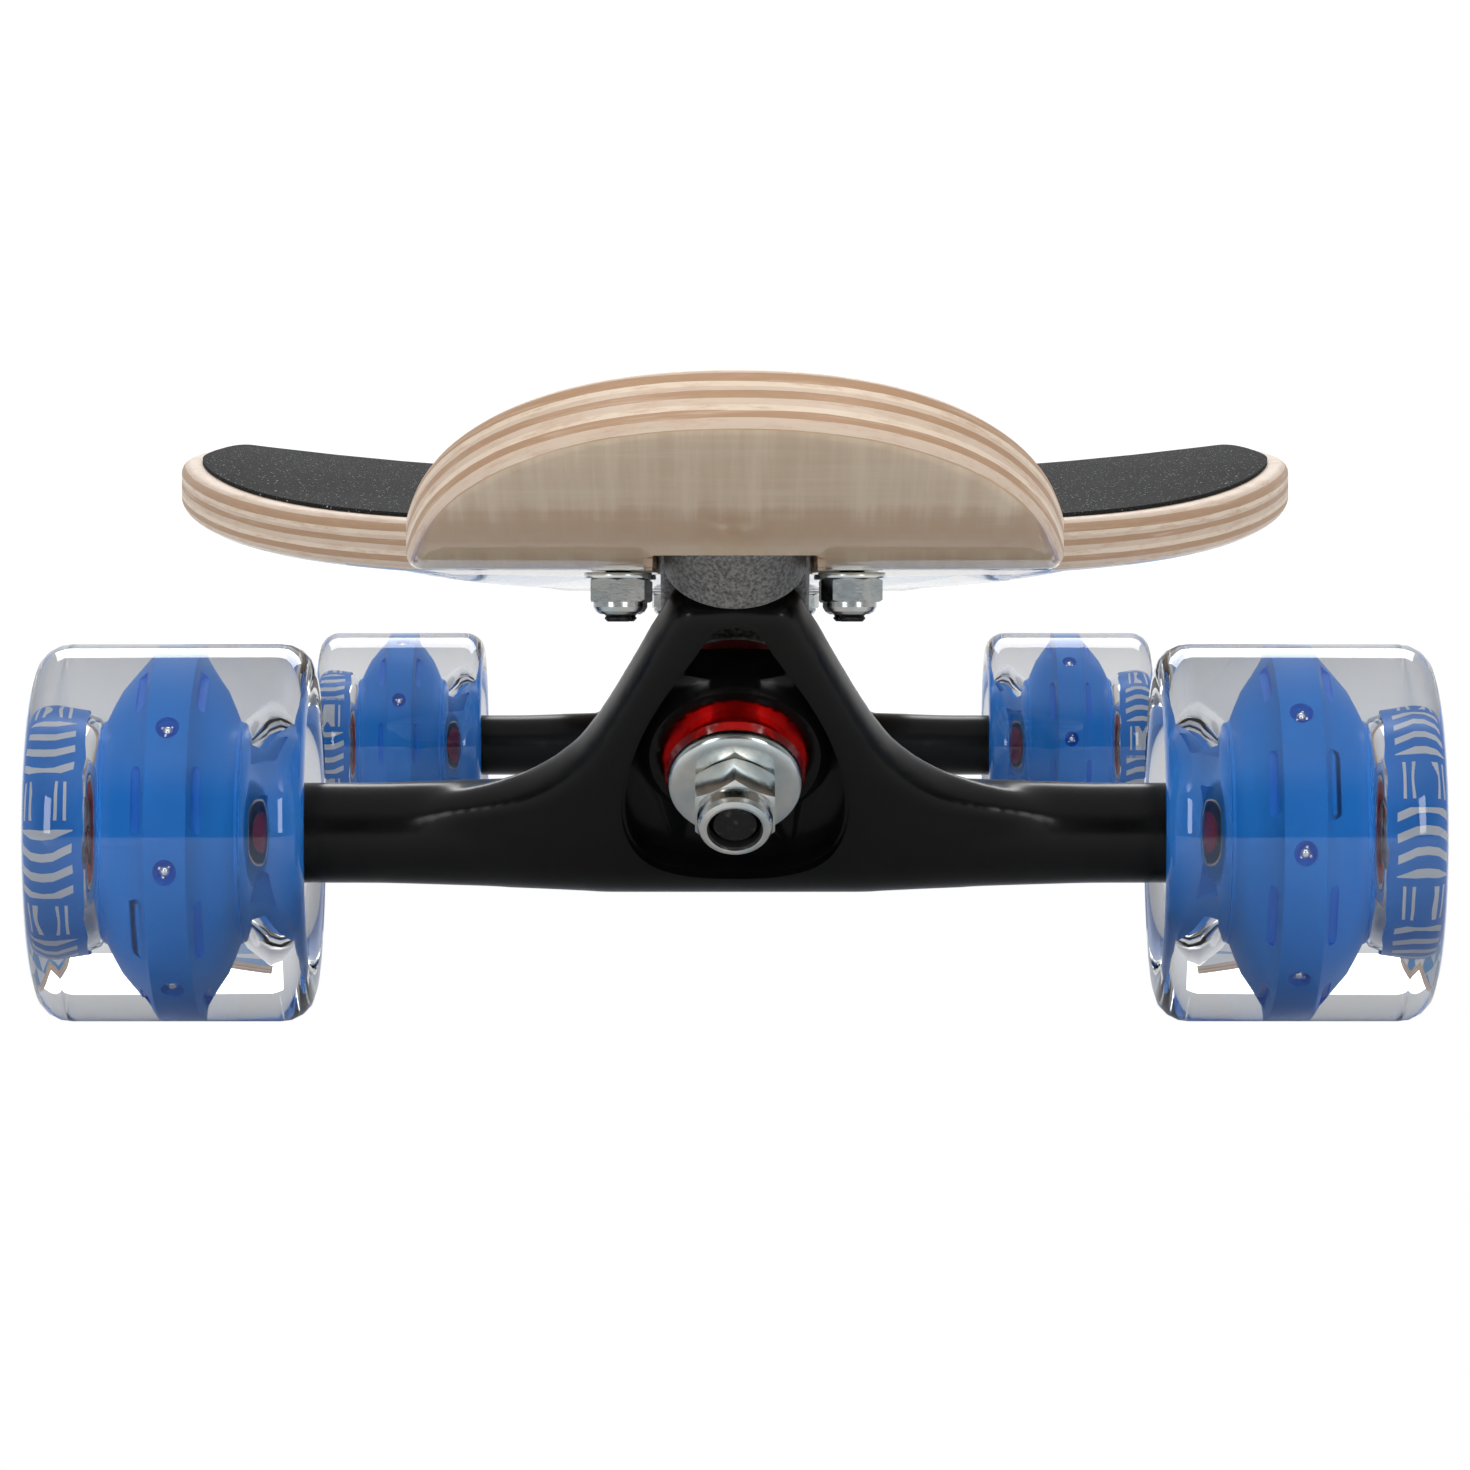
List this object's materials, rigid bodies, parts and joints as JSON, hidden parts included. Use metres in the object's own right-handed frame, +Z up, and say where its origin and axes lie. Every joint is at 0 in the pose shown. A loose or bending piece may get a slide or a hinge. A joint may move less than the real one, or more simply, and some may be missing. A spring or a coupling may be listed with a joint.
{
  "type": "longboard skateboard",
  "caption": "Drop-through longboard: kicked laminated wood deck with grip tape, reverse-kingpin trucks that lean and steer, clear wheels on blue cores.",
  "frame": {"origin": "on the ground, under the middle of the board", "axes": "+Y along the board from nose to tail, +X across it, +Z up"},
  "size_m": [0.257, 1.041, 0.1172],
  "materials": {
    "laminated_wood": "pale maple and tan plies, clear lacquer, white and blue geometric print under the middle",
    "grip_tape": "black abrasive grit on adhesive film",
    "cast_metal": "rough cast, silver-grey coating",
    "pivot_plastic": "moulded, smooth",
    "black_steel": "black oxide, slightly oiled",
    "red_urethane": "clear red cast urethane, glossy",
    "zinc_plate": "bright zinc plate, faint blue",
    "black_coating": "gloss black powder coat",
    "axle_steel": "ground steel",
    "clear_urethane": "clear cast urethane, polished tread",
    "blue_plastic": "moulded bright blue, satin",
    "bearing_steel": "ground steel rings, red shield"
  },
  "bodies": {
    "root": {"deck": "laminated_wood", "grip_tape": "grip_tape", "front_baseplate": "cast_metal", "front_pivot_cup": "pivot_plastic", "front_kingpin": "black_steel", "front_bushing_boardside": "red_urethane", "front_bushing_roadside": "red_urethane", "front_washer_boardside": "zinc_plate", "front_washer_roadside": "zinc_plate", "front_kingpin_nut": "zinc_plate", "front_mount_bolt_1": "black_steel", "front_mount_nut_1": "zinc_plate", "front_mount_bolt_2": "black_steel", "front_mount_nut_2": "zinc_plate", "front_mount_bolt_3": "black_steel", "front_mount_nut_3": "zinc_plate", "front_mount_bolt_4": "black_steel", "front_mount_nut_4": "zinc_plate", "rear_baseplate": "cast_metal", "rear_pivot_cup": "pivot_plastic", "rear_kingpin": "black_steel", "rear_bushing_boardside": "red_urethane", "rear_bushing_roadside": "red_urethane", "rear_washer_boardside": "zinc_plate", "rear_washer_roadside": "zinc_plate", "rear_kingpin_nut": "zinc_plate", "rear_mount_bolt_1": "black_steel", "rear_mount_nut_1": "zinc_plate", "rear_mount_bolt_2": "black_steel", "rear_mount_nut_2": "zinc_plate", "rear_mount_bolt_3": "black_steel", "rear_mount_nut_3": "zinc_plate", "rear_mount_bolt_4": "black_steel", "rear_mount_nut_4": "zinc_plate"},
    "front_hanger_assembly": {"front_hanger": "black_coating", "front_axle": "axle_steel", "front_left_axle_nut": "zinc_plate", "front_right_axle_nut": "zinc_plate"},
    "front_left_wheel_assembly": {"front_left_wheel": "clear_urethane", "front_left_core": "blue_plastic", "front_left_bearing_inboard": "bearing_steel", "front_left_bearing_outboard": "bearing_steel"},
    "front_right_wheel_assembly": {"front_right_wheel": "clear_urethane", "front_right_core": "blue_plastic", "front_right_bearing_inboard": "bearing_steel", "front_right_bearing_outboard": "bearing_steel"},
    "rear_hanger_assembly": {"rear_hanger": "black_coating", "rear_axle": "axle_steel", "rear_left_axle_nut": "zinc_plate", "rear_right_axle_nut": "zinc_plate"},
    "rear_left_wheel_assembly": {"rear_left_wheel": "clear_urethane", "rear_left_core": "blue_plastic", "rear_left_bearing_inboard": "bearing_steel", "rear_left_bearing_outboard": "bearing_steel"},
    "rear_right_wheel_assembly": {"rear_right_wheel": "clear_urethane", "rear_right_core": "blue_plastic", "rear_right_bearing_inboard": "bearing_steel", "rear_right_bearing_outboard": "bearing_steel"}
  },
  "joints": [
    {"name": "front_truck_steer", "type": "hinge", "parent": "root", "child": "front_hanger_assembly", "pos_m": [0, -0.381, 0.035], "axis": [0, -0.6428, 0.766], "range_deg": [-15, 15], "stiffness_Nm_per_rad": 90, "deforming": ["front_bushing_boardside", "front_bushing_roadside"]},
    {"name": "front_left_wheel_spin", "type": "hinge", "parent": "front_hanger_assembly", "child": "front_left_wheel_assembly", "pos_m": [-0.103, -0.381, 0.035], "axis": [1, 0, 0], "continuous": true},
    {"name": "front_right_wheel_spin", "type": "hinge", "parent": "front_hanger_assembly", "child": "front_right_wheel_assembly", "pos_m": [0.103, -0.381, 0.035], "axis": [1, 0, 0], "continuous": true},
    {"name": "rear_truck_steer", "type": "hinge", "parent": "root", "child": "rear_hanger_assembly", "pos_m": [0, 0.381, 0.035], "axis": [0, 0.6428, 0.766], "range_deg": [-15, 15], "stiffness_Nm_per_rad": 90, "deforming": ["rear_bushing_boardside", "rear_bushing_roadside"]},
    {"name": "rear_left_wheel_spin", "type": "hinge", "parent": "rear_hanger_assembly", "child": "rear_left_wheel_assembly", "pos_m": [-0.103, 0.381, 0.035], "axis": [1, 0, 0], "continuous": true},
    {"name": "rear_right_wheel_spin", "type": "hinge", "parent": "rear_hanger_assembly", "child": "rear_right_wheel_assembly", "pos_m": [0.103, 0.381, 0.035], "axis": [1, 0, 0], "continuous": true}
  ]
}
